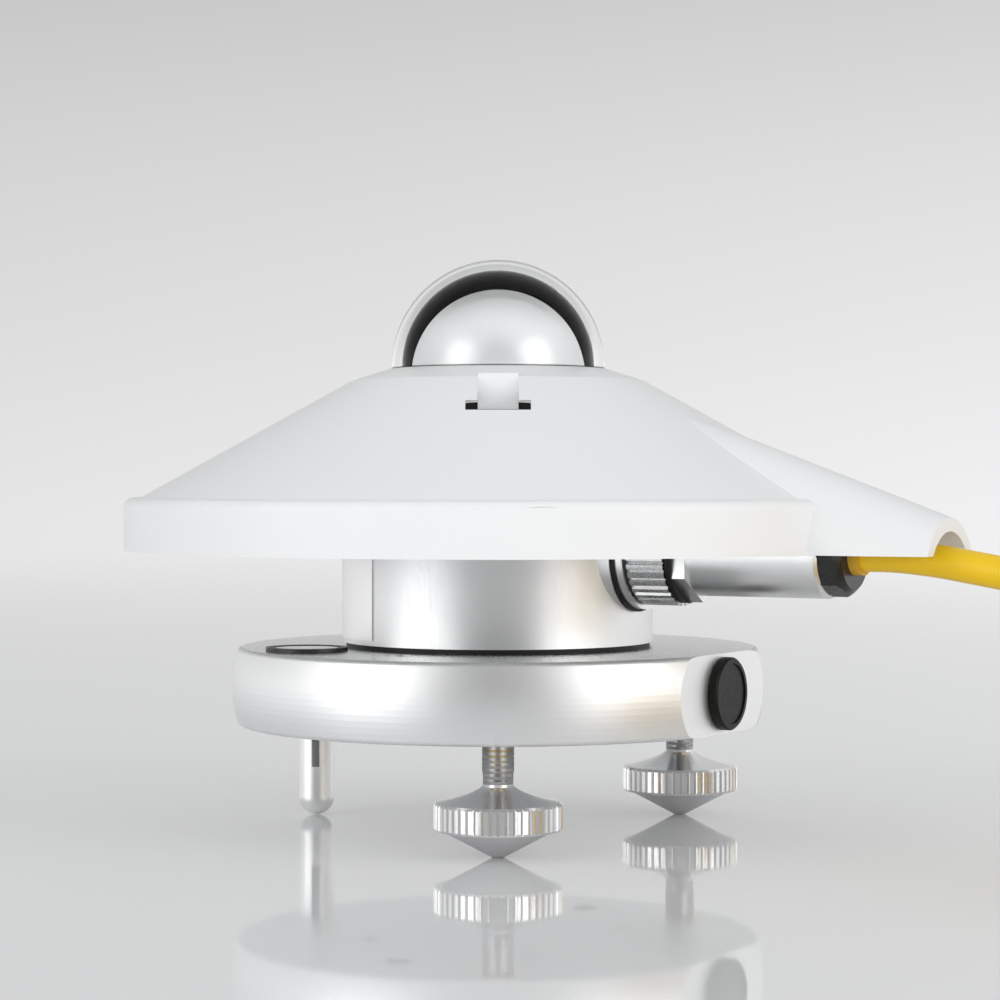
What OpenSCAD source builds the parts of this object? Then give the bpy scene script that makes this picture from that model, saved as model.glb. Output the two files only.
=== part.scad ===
// Pyranometer: a thermopile radiation sensor under two glass domes, with a clip-on sun shield,
// levelling feet, a drying cartridge and a plugged cable.
// Millimetres. Z is up, X points along the connector and the shield's spout.
// The origin is the centre of the base's underside, midway between the two mounting holes.

/* [Base] */
// Greatest radius of the base, at half its height
base_r = 53.5; // [52:0.5:58]
// Thickness of the base
base_h = 15.5; // [15.2:0.1:18]
// How far the side of the base bulges past its edges
base_bulge = 1.3; // [0.8:0.1:2]
// Rounding of the base's edges
base_round = 1.2; // [0.6:0.1:1.8]
// Depth of the flat that the drying cartridge goes in at
flat_cut = 3.3; // [2.6:0.1:4.5]
// Distance between the two mounting holes
mount_pitch = 75; // [73:0.5:78]
// Diameter of a mounting hole
mount_hole_d = 5.5; // [4.5:0.1:6]

/* [Housing] */
// Radius of the cylindrical housing
housing_r = 31.2; // [30.5:0.1:32]
// Height of the housing
housing_h = 45.5; // [43:0.5:50]
// Wall of the housing
housing_wall = 4; // [3:0.1:4.5]
// Thickness of the deck that closes the housing on top
deck_t = 4; // [3:0.1:5]
// Thickness of the seal between base and housing
gasket_t = 1; // [0.6:0.1:1.6]
// Height of the connector's axis over the housing's lower edge
socket_rise = 18.3; // [17:0.1:19]
// Diameter of the screws that hold the housing
housing_screw_d = 3; // [2.5:0.1:3.5]

/* [Label plate] */
// Width of the bare plate round the housing, in degrees
label_angle = 36; // [20:1:60]
// Direction of the middle of the plate, in degrees from the connector
label_azimuth = 230.5; // [215:0.5:245]
// Thickness of the plate
label_t = 0.25; // [0.2:0.05:0.6]
// Distance of the plate from the housing's lower and upper edge
label_inset = 1; // [0.5:0.1:4]

/* [Feet] */
// Distance of each foot's axis inside the base's greatest radius
foot_inset = 9.5; // [8.5:0.1:10.5]
// Height of the base over the ground
stand_h = 21.2; // [20:0.1:24]
// Radius of the levelling screws
stud_r = 3; // [2.5:0.1:3.2]
// Length of the levelling screw above its knob
stud_l = 15.6; // [14:0.1:16]
// Radius of the knurled knobs
knob_r = 12.07; // [10.5:0.01:14]
// Height of the knurled band
knob_band_h = 5.2; // [4:0.1:6]
// Height of the hollow flare over the band
knob_flare_h = 3.4; // [2.5:0.1:4]
// Radius of the knob's neck
knob_neck_r = 2.85; // [2.4:0.05:3]
// Number of grooves round a knob
knob_grooves = 50; // [30:1:60]
// Height of the cone-shaped foot pads
pad_h = 5; // [4:0.1:5.6]
// Radius of the fixed foot
fixed_foot_r = 3.7; // [3:0.1:4.5]

/* [Level] */
// Radius of the circular level's frame
level_r = 8; // [7:0.1:8.5]
// Direction of the level, in degrees from the connector
level_azimuth = 236; // [228:1:244]
// Distance of the level's axis inside the base's greatest radius
level_inset = 11.9; // [11:0.1:12.5]
// How far the level stands proud of the base
level_proud = 0.8; // [0.4:0.1:1.5]
// Depth of the pocket that the level sits in
level_pocket = 6; // [5:0.1:8]

/* [Domes] */
// Radius of the outer dome
dome_r = 21.5; // [20.8:0.1:22.5]
// Wall of the outer dome
dome_wall = 2.1; // [1.6:0.1:2.2]
// Height of the outer dome's centre over the housing
dome_rise = 9.8; // [9:0.1:12]
// Radius of the inner dome
inner_dome_r = 17.5; // [16.9:0.1:17.7]
// Wall of the inner dome
inner_dome_wall = 1.6; // [1.2:0.1:1.9]
// Height of the inner dome's centre over the housing
inner_dome_rise = 7.8; // [7.4:0.1:8.6]
// Width of the metal ring outside the outer dome
dome_ring_band = 5.4; // [5:0.1:5.8]
// Height of that ring
dome_ring_h = 5.6; // [5.2:0.1:6.2]

/* [Detector] */
// Radius of the sensor body under the detector
sensor_r = 13.9; // [13:0.1:14.4]
// Radius of the black detector disc
detector_r = 10; // [8:0.1:10.5]
// Thickness of the black detector disc
detector_t = 0.4; // [0.3:0.05:0.8]
// Height of the thermopile
thermopile_h = 1.6; // [1:0.1:2]

/* [Sun shield] */
// Radius of the shield's rim
shield_r = 75; // [73:0.5:78]
// Wall of the shield
shield_wall = 2.4; // [2:0.1:2.6]
// Height of the upright rim
rim_h = 10.4; // [9.5:0.1:12]
// Rounding of the rim's upper edge
rim_round = 2; // [1:0.1:2.2]
// Slope of the cone, in degrees
cone_angle = 29.05; // [28:0.05:30]
// Slope of the crown round the domes, in degrees
crown_angle = 17.5; // [15:0.5:20]
// How far the spout reaches from the axis
spout_reach = 96.4; // [93:0.1:98]
// Slope of the spout's ridge, in degrees
spout_angle = 19.9; // [19:0.1:20.5]
// Radius of the spout's arch
spout_r = 13.5; // [12.5:0.1:14]
// Distance from the axis at which the ridge leaves the cone
ridge_start_r = 42.7; // [41:0.1:44]
// Width of a snap tongue
tongue_w = 7.8; // [6:0.1:9]
// Width of the window at each lower corner of a tongue
window_w = 2.3; // [1.5:0.1:3]
// Height of that window
window_h = 1.9; // [1.4:0.1:2.5]

/* [Drying cartridge] */
// Radius of the bore that the cartridge goes in
cartridge_bore_r = 6; // [5.8:0.05:6.3]
// Length of the perforated tube
cartridge_l = 37.9; // [34:0.1:40]
// Wall of the tube
cartridge_wall = 1; // [0.8:0.1:1.3]
// Radius of the black cap
cap_r = 7.05; // [6.9:0.05:7.4]
// How far the cap stands out of the base
cap_t = 2; // [1.5:0.1:4]
// Radius of a silica gel bead
bead_r = 1.6; // [1.2:0.05:1.65]

/* [Connector] */
// Radius of the black gasket under the socket
socket_gasket_r = 11.7; // [11.4:0.1:12]
// Radius of the socket's thread
socket_thread_r = 8.6; // [8.4:0.1:8.8]
// Length of the socket's thread
socket_thread_l = 6.3; // [5:0.1:6.5]
// Radius of the coupling nut
nut_r = 10.3; // [10:0.1:11]
// Length of the coupling nut
nut_l = 7.8; // [7.4:0.1:9]
// Number of grooves round the coupling nut
nut_grooves = 36; // [24:1:44]
// Radius of the plug's barrel
barrel_r = 8.3; // [7.6:0.1:8.6]
// Length of the plug's barrel
barrel_l = 27.1; // [24:0.1:30]
// Radius of the black gland nut
gland_r = 7.9; // [7:0.1:8.2]
// Length of the gland nut
gland_l = 4.5; // [4:0.1:6]
// Radius of the bush that the cable leaves through
bush_r = 3.8; // [3.4:0.1:4.4]
// Length of that bush outside the gland nut
bush_l = 2; // [1.5:0.1:3]

/* [Cable] */
// Diameter of the cable
cable_d = 6.2; // [5.8:0.1:6.3]
// Distance from one turn of the coil to the next, and from one layer to the next
coil_pitch = 6.9; // [6.8:0.05:7.2]
// Radius of the coil's outermost turn
coil_r = 57.8; // [57:0.1:62]
// Turns in each layer of the coil
coil_turns = 4.5; // [2.5:1:4.5]
// Diameter of one bare lead at the cable's end
lead_d = 1.6; // [1.2:0.1:1.8]

/* [Hidden] */

// Smoothness of every round face
$fn = 96;
// Smoothness of small roundings, ropes of beads and the like
round_fn = 32;
edge_steps = 6;
side_steps = 12;
// Overrun of every cut past the face it opens
over = 1;
// Radial clearance of a running fit
running = 0.05;
// Clearance where two pieces lie beside each other without touching
clear = 0.1;
// Clearance between a moving piece and the one that it rests on
seat = 0.2;

// Heights, from the base's underside
housing_z = base_h + gasket_t;
housing_top = housing_z + housing_h;
deck_under = housing_top - deck_t;
socket_z = housing_z + socket_rise;
cartridge_z = base_h / 2;

// Places round the base
flat_x = base_r - flat_cut;
foot_circle_r = base_r - foot_inset;
level_circle_r = base_r - level_inset;
front_foot_azimuth = -60;
right_foot_azimuth = 60;
fixed_foot_azimuth = 180;
screw_azimuths = [45, 135, 225, 315];

// Housing: inside radius, screw bosses and the connector's boss
housing_in_r = housing_r - housing_wall;
screw_boss_r = housing_screw_d * 1.2;
screw_boss_h = housing_screw_d * 4;
screw_circle_r = housing_in_r - screw_boss_r / 4;
screw_head_r = housing_screw_d * 0.92;
screw_head_h = housing_screw_d;
screw_hole_r = housing_screw_d / 2 + clear;
housing_edge = 0.6;

// Feet
ground_z = -stand_h;
pad_tip_r = 1.2;
pad_pin_r = 2;
pad_pin_l = 3;
knob_z = ground_z + pad_h + running;
knob_top_z = knob_z + knob_band_h + knob_flare_h;
knob_groove_depth = 0.35;
knob_chamfer = 0.5;
flare_steps = 7;
bush_wall = 1.45;
bush_h_share = 0.65;
foot_hole_depth_share = 0.9;
stud_neck_l = 2.2;
fixed_foot_seat_share = 0.5;
fixed_foot_mark_w = 1.6;
fixed_foot_mark_l = 5.7;
fixed_foot_mark_depth = 0.5;

// Level
level_wall = 1.6;
level_window_t = 1.1;
level_floor_t = 1;
bubble_r = 1.5;

// Dome ring, its seal and screws
dome_ring_r = dome_r + dome_ring_band;
dome_ring_top = housing_top + dome_ring_h;
dome_seat_h = 2.5;
dome_z = housing_top + dome_rise;
inner_dome_z = housing_top + inner_dome_rise;
ring_top_r = dome_r + dome_ring_band * 0.61;
ring_side_top = dome_ring_top - (dome_ring_r - ring_top_r) * 0.4;
dome_seal_r = dome_r - 0.2;
dome_seal_section = 0.8;
dome_seal_room = 0.1;
ring_screw_r = 1;
ring_screw_circle_r = (dome_r + dome_ring_r) / 2 + dome_ring_band * 0.12;
ring_screw_azimuths = [15, 105, 195, 285];
inner_ring_r = dome_r - dome_wall - clear;
inner_ring_bore_r = sensor_r + clear;
inner_dome_seat_h = 3;
inner_ring_lip_h = 2;

// Detector stack, under the centre of the inner dome
sensor_top = inner_dome_z - 2.6;
sensor_flange_r = sensor_r + 3;
sensor_flange_h = 2.5;
detector_ring_t = 0.8;
detector_ring_gap = 0.3;

// Circuit board
board_t = 1.6;
board_drop = 8.4;
board_r = housing_in_r - 3.2;
standoff_r = 2.5;
standoff_circle_r = board_r - 3.2;
board_top = deck_under - board_drop;
board_z = board_top - board_t;

// Sun shield: the crown rests on the dome ring, the cone starts at the tongues
tongue_t = shield_wall;
crown_r = dome_ring_r + seat + tongue_t;
shield_hole_r = dome_r + 0.4;
crown_drop = shield_wall / cos(crown_angle);
cone_drop = shield_wall / cos(cone_angle);
shoulder_r = shield_r - rim_round - 1.4;
function crown_top(r) = dome_ring_top + seat + crown_drop + (ring_top_r - r) * tan(crown_angle);
function cone_top(r) = crown_top(crown_r) - (r - crown_r) * tan(cone_angle);
rim_top = cone_top(shoulder_r);
rim_bottom = rim_top - rim_h;
function ridge_top(x) = cone_top(ridge_start_r) - (x - ridge_start_r) * tan(spout_angle);
tongue_top = crown_top(crown_r) + 0.57;
tongue_bottom = housing_top + 0.5;
notch_floor = tongue_bottom + clear;
notch_reach = crown_r + 16;
window_reach = crown_r + 4;
tongue_azimuths = [-60, 30, 120, 210];

// Cartridge
cartridge_r = cartridge_bore_r - running;
cartridge_end_l = 4.9;
cartridge_spigot_l = 4.2;
cartridge_out_x = flat_x - cartridge_spigot_l - clear;
cartridge_in_x = cartridge_out_x - cartridge_l;
cartridge_in_r = cartridge_r - cartridge_wall;
cartridge_bore_depth = cartridge_l + cartridge_spigot_l + 5;
cartridge_pin_r = 2;
cartridge_pin_l = 3;
cartridge_seal_section = 0.6;
cartridge_window_w = 3;
cartridge_window_inset = 4;
cap_edge = 0.4;
cap_dish = 0.3;
air_hole_r = 4;
bead_circle_r = cartridge_in_r - bead_r - clear;
bead_step = 2 * bead_r + clear;
bead_count = 5;
bead_rows = floor((cartridge_l - cartridge_end_l - 2 * cartridge_wall) / bead_step);

// Connector, from the housing outwards
socket_boss_r = socket_gasket_r + 0.2;
socket_boss_x = housing_r + 0.2;
socket_boss_in_x = housing_in_r - 1.7;
socket_body_r = 8.4;
socket_gasket_t = 0.8;
socket_flange_r = socket_gasket_r - 0.5;
socket_flange_t = 1.6;
socket_nut_r = 10.8;
socket_nut_t = 2.5;
socket_in_x = socket_boss_in_x - socket_nut_t - 3;
flange_x = socket_boss_x + socket_gasket_t;
thread_x = flange_x + socket_flange_t;
insert_r = 6.4;
nut_x = thread_x + 0.4;
nut_lip_t = 0.8;
nut_end_x = nut_x + nut_l;
nut_bore_r = socket_thread_r + running;
nut_groove_depth = 0.45;
neck_r = 7.2;
plug_shoulder_t = 0.7;
plug_shoulder_x = nut_end_x - nut_lip_t - clear - plug_shoulder_t;
plug_seal_t = 1;
plug_seal_r = 9.8;
plug_seal_x = nut_end_x + clear;
collar_r = 9.6;
collar_l = 2.8;
collar_x = plug_seal_x + plug_seal_t;
barrel_x = collar_x + collar_l;
gland_x = barrel_x + barrel_l;
gland_end_x = gland_x + gland_l;
gland_chamfer = 1.4;
gland_bore_r = bush_r;
bush_seat_l = 6;
bush_end_x = gland_end_x + bush_l;
pin_r = 0.5;
pin_circle_r = 4;
pin_count = 6;
pin_stick_l = 4;
insert_face_x = thread_x + 0.8;
plug_insert_x = insert_face_x + 0.6;
plug_insert_l = 14;
barrel_round = 0.6;

// The cable's free stretch: from the bush in a shallow sag, then down to the coil's top layer
CABLE_ROUTE = [
    [79.5, 0, 34.8], [84.5, 0, 34.8], [90, 0, 34.4], [95, 0, 33.8], [100, 0, 33],
    [106, 0, 32],
    [115.4, -1, 30.4], [124.3, -3.9, 28.1], [132.5, -8.6, 25.2], [139.4, -14.9, 22],
    [145, -22.5, 18.5], [148, -28.9, 15.7], [151, -35.3, 13.1], [156.6, -42.9, 9.8],
    [163.5, -49.2, 7], [171.7, -53.9, 4.7], [180.6, -56.8, 3.2], [190, -57.8, 2.7],
    [196, -57.8, 2.7],
];
// The cable's tail: straight off the coil's lowest outer turn, on the ground
TAIL_ROUTE = [
    [208.4, -57.8, -18], [214, -57.8, -18], [220, -57.8, -18], [226, -57.8, -18],
];
// The bare leads: the angle at which each one leaves the sleeve, and how far aside it ends
LEAD_SPREAD = [[210, -11], [150, -6.6], [270, -2.2], [90, 2.2], [330, 6.6], [30, 11]];
tube_sides = 8;
coil_sides = 6;
coil_rings = 24;
coil_layers = 4;
coil_x = 202.2;
coil_y = 0;
coil_low_z = ground_z + cable_d / 2 + clear;
sleeve_r = 3.6;
sleeve_l = 22;
sleeve_x = 226;
tail_y = -57.8;
lead_l = 46;
lead_circle_r = 1.95;
ferrule_r = 1.2;
ferrule_l = 8;

// Unit vector along v
function unit(v) = v / norm(v);
// Direction of a route at point i
function along(p, i) = unit(p[min(i + 1, len(p) - 1)] - p[max(i - 1, 0)]);
// One ring of a tube round point i of a route that never stands upright
function ring(p, i, r, n) =
    let (t = along(p, i), s = unit(cross([0, 0, 1], t)), u = cross(t, s))
    [for (k = [0 : n - 1]) p[i] + r * cos(360 * (k + 0.5) / n) * s + r * sin(360 * (k + 0.5) / n) * u];

// A closed tube of n sides swept along a route
module tube(p, r, n) {
    m = len(p);
    points = [for (i = [0 : m - 1]) each ring(p, i, r, n)];
    sides = [
        for (i = [0 : m - 2]) for (k = [0 : n - 1])
            let (a = i * n + k, b = i * n + (k + 1) % n)
            each [[a, a + n, b], [b, a + n, b + n]]
    ];
    caps = [
        for (k = [1 : n - 2]) each [
            [0, k, k + 1],
            [(m - 1) * n, (m - 1) * n + k + 1, (m - 1) * n + k],
        ]
    ];
    polyhedron(points = points, faces = concat(sides, caps), convexity = 10);
}

// Radius and height of the coil's centre line after t turns: it spirals in and out at a steady
// rate, and drops a layer in the half turn round each reversal
function coil_radius(t) =
    let (u = t - 2 * coil_turns * floor(t / (2 * coil_turns)))
    coil_r - coil_pitch * min(u, 2 * coil_turns - u);
function coil_layer(t) =
    let (k = round(t / coil_turns), u = (t - k * coil_turns) * 2)
    k == 0 ? 0 : k == coil_layers ? coil_layers - 1 : k - 0.5 + min(max(u, -0.5), 0.5);
function coil_point(t) = [
    coil_x + coil_radius(t) * cos(360 * t - 90),
    coil_y + coil_radius(t) * sin(360 * t - 90),
    coil_low_z + coil_pitch * (coil_layers - 1 - coil_layer(t)),
];

// Copies round the Z axis at the given azimuths, r from the axis
module round_about(azimuths, r) {
    for (a = azimuths) rotate(a) translate([r, 0, 0]) children();
}

// A cylinder along X from x0 to x1, on the connector's axis height z
module bar(x0, x1, r, z) {
    translate([x0, 0, z]) rotate([0, 90, 0]) cylinder(h = x1 - x0, r = r);
}

// Outline of a disc with grooves round it
module grooved(r, grooves, depth) {
    difference() {
        circle(r);
        for (k = [0 : grooves - 1]) rotate(360 * k / grooves)
            translate([r, 0]) rotate(45) square(depth * sqrt(2), center = true);
    }
}

// Half section of the base: a bulging side between two rounded edges
function base_side() =
    let (bulge_r = (base_h * base_h / 4 + base_bulge * base_bulge) / (2 * base_bulge),
        bulge_x = base_r - bulge_r,
        half = base_h / 2,
        round_x = bulge_x + sqrt(pow(bulge_r - base_round, 2) - pow(half - base_round, 2)),
        lean = asin((half - base_round) / (bulge_r - base_round)))
    concat(
        [for (i = [0 : edge_steps]) let (a = -90 + (90 - lean) * i / edge_steps)
            [round_x + base_round * cos(a), base_round + base_round * sin(a)]],
        [for (i = [1 : side_steps - 1]) let (a = -lean + 2 * lean * i / side_steps)
            [bulge_x + bulge_r * cos(a), half + bulge_r * sin(a)]],
        [for (i = [0 : edge_steps]) let (a = lean + (90 - lean) * i / edge_steps)
            [round_x + base_round * cos(a), base_h - base_round + base_round * sin(a)]]);

// the plate's outline is drawn as short straight bands, so that each is an exact cone
module base_section() {
    polygon(concat([[0, 0]], base_side(), [[0, base_h]]));
}

module base_plate() {
    color([0.84, 0.85, 0.86]) difference() {
        rotate_extrude() base_section();
        // flat for the cartridge's cap
        translate([flat_x, -base_r, -over]) cube([base_r, 2 * base_r, base_h + 2 * over]);
        // bore for the cartridge, and the hole that lets its dry air up into the housing
        bar(flat_x - cartridge_bore_depth, flat_x + over, cartridge_bore_r, cartridge_z);
        translate([flat_x - cartridge_bore_depth + 2 * air_hole_r, 0, cartridge_z])
            cylinder(h = base_h, r = air_hole_r);
        // mounting holes
        for (s = [-1, 1]) translate([0, s * mount_pitch / 2, -over])
            cylinder(h = base_h + 2 * over, d = mount_hole_d);
        // housing screws, their heads sunk into the underside
        round_about(screw_azimuths, screw_circle_r) {
            translate([0, 0, -over]) cylinder(h = base_h + 2 * over, r = screw_hole_r);
            translate([0, 0, -over]) cylinder(h = screw_head_h + clear + over, r = screw_head_r + clear);
        }
        // levelling screws: a seat for the bush, and room for the screw above it
        round_about([front_foot_azimuth, right_foot_azimuth], foot_circle_r) {
            translate([0, 0, -over]) cylinder(h = base_h * bush_h_share + over, r = stud_r + bush_wall);
            cylinder(h = base_h * foot_hole_depth_share, r = stud_r + clear * 3);
        }
        // fixed foot
        round_about([fixed_foot_azimuth], foot_circle_r) translate([0, 0, -over])
            cylinder(h = base_h * fixed_foot_seat_share + over, r = fixed_foot_r);
        // circular level
        round_about([level_azimuth], level_circle_r) translate([0, 0, base_h - level_pocket])
            cylinder(h = level_pocket + over, r = level_r);
    }
}

module base_gasket() {
    color([0.1, 0.1, 0.1]) translate([0, 0, base_h]) difference() {
        union() {
            cylinder(h = gasket_t, r = housing_r - housing_edge);
            round_about(screw_azimuths, screw_circle_r) cylinder(h = gasket_t, r = screw_boss_r);
        }
        translate([0, 0, -over]) difference() {
            cylinder(h = gasket_t + 2 * over, r = housing_in_r);
            round_about(screw_azimuths, screw_circle_r)
                cylinder(h = gasket_t + 2 * over, r = screw_boss_r);
        }
        round_about(screw_azimuths, screw_circle_r) translate([0, 0, -over])
            cylinder(h = gasket_t + 2 * over, r = screw_hole_r);
    }
}

// Room inside the housing: all but the screw bosses and the connector's boss
module housing_room() {
    difference() {
        translate([0, 0, housing_z - over]) cylinder(h = housing_h - deck_t + over, r = housing_in_r);
        round_about(screw_azimuths, screw_circle_r) translate([0, 0, housing_z - 2 * over])
            cylinder(h = screw_boss_h + 2 * over, r = screw_boss_r);
        bar(socket_boss_in_x, housing_r, socket_boss_r, socket_z);
    }
}

module housing() {
    color([0.83, 0.84, 0.85]) difference() {
        union() {
            // a small chamfer runs round its upper edge
            rotate_extrude() translate([0, housing_z]) polygon([
                [0, 0], [housing_r, 0], [housing_r, housing_h - housing_edge],
                [housing_r - housing_edge, housing_h], [0, housing_h],
            ]);
            bar(housing_in_r, socket_boss_x, socket_boss_r, socket_z);
        }
        housing_room();
        // screws from below
        round_about(screw_azimuths, screw_circle_r) translate([0, 0, housing_z - over])
            cylinder(h = screw_boss_h - housing_screw_d / 2 + over, d = housing_screw_d);
        // connector
        bar(socket_boss_in_x - over, socket_boss_x + over, socket_body_r, socket_z);
        // sensor body, and the dome ring's screws
        translate([0, 0, deck_under - over]) cylinder(h = deck_t + 2 * over, r = sensor_r);
        round_about(ring_screw_azimuths, ring_screw_circle_r) translate([0, 0, deck_under - over])
            cylinder(h = deck_t + 2 * over, r = ring_screw_r);
    }
}

module housing_screws() {
    color("silver") round_about(screw_azimuths, screw_circle_r) {
        translate([0, 0, clear]) difference() {
            cylinder(h = screw_head_h, r = screw_head_r);
            translate([0, 0, -over]) cylinder(h = screw_head_h / 2 + over, d = housing_screw_d * 0.83, $fn = 6);
        }
        translate([0, 0, clear + screw_head_h])
            cylinder(h = housing_z + screw_boss_h - 3 * housing_screw_d / 2 - screw_head_h, d = housing_screw_d);
    }
}

module label_plate() {
    color([0.92, 0.92, 0.92]) translate([0, 0, housing_z + label_inset])
        rotate(label_azimuth - label_angle / 2) rotate_extrude(angle = label_angle)
            translate([housing_r, 0])
                square([label_t, rim_bottom - housing_z + rim_h - 2 * label_inset]);
}

module fixed_foot() {
    color([0.9, 0.9, 0.9]) round_about([fixed_foot_azimuth], foot_circle_r) difference() {
        union() {
            translate([0, 0, ground_z + fixed_foot_r]) sphere(fixed_foot_r);
            translate([0, 0, ground_z + fixed_foot_r])
                cylinder(h = stand_h - fixed_foot_r + base_h * fixed_foot_seat_share, r = fixed_foot_r);
        }
        rotate(front_foot_azimuth - fixed_foot_azimuth)
            translate([fixed_foot_r - fixed_foot_mark_depth, -fixed_foot_mark_w / 2, -fixed_foot_mark_l])
                cube([fixed_foot_r, fixed_foot_mark_w, fixed_foot_mark_l]);
    }
}

module foot_bushes() {
    color([0.8, 0.68, 0.35]) round_about([front_foot_azimuth, right_foot_azimuth], foot_circle_r)
        difference() {
            cylinder(h = base_h * bush_h_share, r = stud_r + bush_wall);
            translate([0, 0, -over]) cylinder(h = base_h + 2 * over, r = stud_r + running);
        }
}

// Cone-shaped pad under a levelling foot, with the pin that its knob turns on
module foot_pad(azimuth) {
    color([0.66, 0.66, 0.66]) round_about([azimuth], foot_circle_r) translate([0, 0, ground_z]) {
        cylinder(h = pad_h, r1 = pad_tip_r, r2 = knob_r - 3 * knob_chamfer);
        translate([0, 0, pad_h]) cylinder(h = pad_pin_l, r = pad_pin_r);
    }
}

// Half section of a knob above its band: a hollow flare from the band to the neck
module flare_section() {
    band_r = knob_r - knob_chamfer;
    rise = knob_flare_h;
    polygon(concat(
        [[0, 0], [band_r, 0]],
        [for (i = [1 : flare_steps])
            let (a = 90 * i / flare_steps)
            [knob_neck_r + (band_r - knob_neck_r) * (1 - sin(a)), rise * (0.45 * sin(a) + 0.55 * (1 - cos(a)))]],
        [[0, rise]]
    ));
}

module foot_knob(azimuth) {
    color([0.86, 0.86, 0.86]) round_about([azimuth], foot_circle_r) translate([0, 0, knob_z])
        difference() {
            union() {
                intersection() {
                    linear_extrude(height = knob_band_h) grooved(knob_r, knob_grooves, knob_groove_depth);
                    rotate_extrude() polygon([
                        [0, 0], [knob_r - knob_chamfer, 0], [knob_r, knob_chamfer],
                        [knob_r, knob_band_h - knob_chamfer], [knob_r - knob_chamfer, knob_band_h],
                        [0, knob_band_h],
                    ]);
                }
                translate([0, 0, knob_band_h]) rotate_extrude() flare_section();
            }
            translate([0, 0, -over]) cylinder(h = pad_pin_l + clear + over, r = pad_pin_r + running);
            // seat of the levelling screw
            translate([0, 0, knob_band_h]) cylinder(h = knob_flare_h + over, r = knob_neck_r / 2);
        }
}

module foot_stud(azimuth) {
    color([0.75, 0.75, 0.76]) round_about([azimuth], foot_circle_r) translate([0, 0, knob_z]) {
        translate([0, 0, knob_band_h]) cylinder(h = knob_flare_h, r = knob_neck_r / 2);
        translate([0, 0, knob_band_h + knob_flare_h]) cylinder(h = stud_neck_l, r = knob_neck_r);
        translate([0, 0, knob_band_h + knob_flare_h + stud_neck_l])
            cylinder(h = stud_l - stud_neck_l, r = stud_r);
    }
}

module level_frame() {
    color([0.06, 0.06, 0.06]) round_about([level_azimuth], level_circle_r)
        translate([0, 0, base_h - level_pocket]) difference() {
            cylinder(h = level_pocket + level_proud, r = level_r);
            translate([0, 0, level_floor_t])
                cylinder(h = level_pocket + level_proud + over, r = level_r - level_wall);
        }
}

module level_liquid() {
    color([0.75, 0.85, 0.3, 0.6]) round_about([level_azimuth], level_circle_r)
        translate([0, 0, base_h - level_pocket + level_floor_t]) difference() {
            cylinder(h = level_pocket + level_proud - level_floor_t - level_window_t - clear,
                r = level_r - level_wall);
            translate([0, 0, level_pocket + level_proud - level_floor_t - level_window_t - clear])
                sphere(bubble_r);
        }
}

module level_bubble() {
    color([0.95, 0.97, 0.9, 0.5]) round_about([level_azimuth], level_circle_r)
        translate([0, 0, base_h + level_proud - level_window_t - clear]) intersection() {
            sphere(bubble_r);
            translate([0, 0, -bubble_r]) cylinder(h = bubble_r, r = bubble_r);
        }
}

module level_window() {
    color([0.9, 0.95, 0.95, 0.4]) round_about([level_azimuth], level_circle_r)
        translate([0, 0, base_h + level_proud - level_window_t - clear])
            cylinder(h = level_window_t, r = level_r - level_wall);
}

module dome_ring() {
    color([0.8, 0.81, 0.82]) difference() {
        rotate_extrude() difference() {
            polygon([
                [inner_ring_r + clear, housing_top], [dome_ring_r, housing_top],
                [dome_ring_r, ring_side_top], [ring_top_r, dome_ring_top],
                [inner_ring_r + clear, dome_ring_top],
            ]);
            // rebate for the outer dome's skirt
            translate([0, housing_top + dome_seat_h]) square([dome_r, dome_ring_h]);
            // groove for the seal
            translate([dome_seal_r - dome_seal_section - dome_seal_room, housing_top - over])
                square([2 * (dome_seal_section + dome_seal_room), over + 2 * dome_seal_section]);
        }
        round_about(ring_screw_azimuths, ring_screw_circle_r) translate([0, 0, housing_top - over])
            cylinder(h = dome_ring_h * 0.6 + over, r = ring_screw_r);
    }
}

module dome_seal() {
    color([0.08, 0.08, 0.08]) translate([0, 0, housing_top + dome_seal_section])
        rotate_extrude() translate([dome_seal_r, 0]) circle(dome_seal_section);
}

module dome_ring_screws() {
    color("silver") round_about(ring_screw_azimuths, ring_screw_circle_r) {
        translate([0, 0, deck_under - 2 * ring_screw_r])
            cylinder(h = 2 * ring_screw_r, r = 1.9 * ring_screw_r);
        translate([0, 0, deck_under]) cylinder(h = deck_t + dome_ring_h * 0.55, r = ring_screw_r);
    }
}

// A glass dome: half a sphere on a short skirt that goes down to bottom_z
module glass_dome(r, wall, centre_z, bottom_z) {
    rotate_extrude() {
        translate([0, centre_z]) intersection() {
            difference() {
                circle(r);
                circle(r - wall);
            }
            square([r, r]);
        }
        translate([r - wall, bottom_z]) square([wall, centre_z - bottom_z]);
    }
}

module outer_dome() {
    color([0.92, 0.94, 0.95, 0.3]) glass_dome(dome_r, dome_wall, dome_z, housing_top + dome_seat_h);
}

module inner_dome() {
    color([0.88, 0.9, 0.91, 0.4])
        glass_dome(inner_dome_r, inner_dome_wall, inner_dome_z, housing_top + inner_dome_seat_h);
}

module inner_dome_ring() {
    color([0.78, 0.79, 0.8]) translate([0, 0, housing_top]) rotate_extrude() difference() {
        translate([inner_ring_bore_r, 0])
            square([inner_ring_r - inner_ring_bore_r, inner_dome_seat_h + inner_ring_lip_h]);
        translate([0, inner_dome_seat_h]) square([inner_dome_r, inner_ring_lip_h + over]);
    }
}

module sensor_body() {
    color([0.7, 0.71, 0.72]) {
        translate([0, 0, deck_under]) cylinder(h = sensor_top - deck_under, r = sensor_r);
        translate([0, 0, deck_under - sensor_flange_h]) cylinder(h = sensor_flange_h, r = sensor_flange_r);
    }
}

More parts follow.
